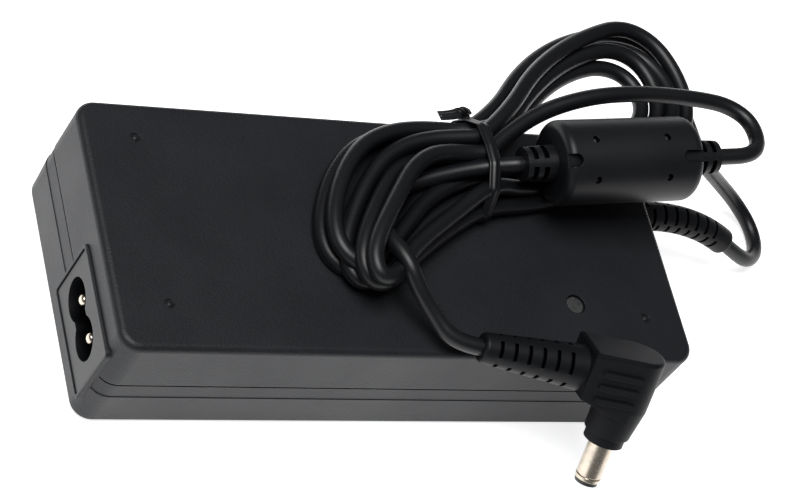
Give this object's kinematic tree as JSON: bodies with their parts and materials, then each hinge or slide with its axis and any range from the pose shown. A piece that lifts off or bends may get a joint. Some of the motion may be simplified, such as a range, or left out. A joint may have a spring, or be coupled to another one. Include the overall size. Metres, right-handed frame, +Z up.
{
  "type": "laptop power adapter",
  "caption": "Black brick-shaped laptop power adapter with a figure-of-eight mains inlet, and a wound, tied output lead with ferrite and elbow barrel plug.",
  "frame": {"origin": "middle of the brick's underside, on the surface it stands on", "axes": "+X along the brick from the mains inlet to the output lead, -Y to the long side where the plug hangs, +Z up"},
  "size_m": [0.1845, 0.1054, 0.055],
  "materials": {
    "case": "black, finely textured moulded plastic",
    "inlet": "black moulded plastic, smoother than the case",
    "pin_metal": "nickel-plated brass pins",
    "lens": "greyish translucent plastic",
    "cord": "black satin vinyl sheath",
    "relief": "black matt soft vinyl",
    "ferrite_cover": "black satin moulded vinyl",
    "tie": "black vinyl-covered wire",
    "plug_body": "black satin moulded vinyl",
    "nickel": "nickel-plated brass",
    "tip": "black moulded insulator",
    "label": "blank dark film label",
    "board": "green solder mask",
    "ferrite": "dark grey sintered ferrite",
    "winding": "yellow taped copper winding",
    "can_sleeve": "black shrink sleeve",
    "film_case": "yellow film capacitor case",
    "ceramic_body": "blue coated disc",
    "chip": "black epoxy package",
    "heatsink": "bare aluminium sheet",
    "insulation": "pale insulating film",
    "wire": "insulated hook-up wire",
    "led": "green status light"
  },
  "bodies": {
    "root": {"top_shell": "case", "bottom_shell": "case", "inlet_body": "inlet", "inlet_pins": "pin_metal", "led_light_pipe": "lens", "case_strain_relief": "relief", "rating_label_blank": "label", "circuit_board": "board", "mains_fuse": "chip", "x_capacitor": "film_case", "common_mode_choke": "ferrite", "inrush_thermistor": "ceramic_body", "bridge_rectifier": "chip", "pfc_choke": "winding", "bulk_capacitor": "can_sleeve", "primary_heatsink": "heatsink", "switching_transistor": "chip", "transformer_core": "ferrite", "transformer_winding": "winding", "y_capacitors": "ceramic_body", "optocoupler": "chip", "control_chip": "chip", "status_led": "led", "secondary_heatsink": "heatsink", "output_rectifier": "chip", "output_capacitors": "can_sleeve", "output_choke": "ferrite", "heat_spreader": "heatsink", "insulating_sheet": "insulation", "mains_leads": "wire", "output_leads": "wire", "cord_lead_in": "cord", "cord_hank": "cord", "cord_through_ferrite": "cord", "cord_to_plug": "cord", "ferrite_cover": "ferrite_cover", "ferrite_core": "ferrite", "twist_tie": "tie", "plug_strain_relief": "relief", "plug_body": "plug_body", "plug_collar": "plug_body", "plug_barrel": "nickel", "plug_insulator": "tip", "plug_inner_contact": "nickel"}
  },
  "joints": []
}
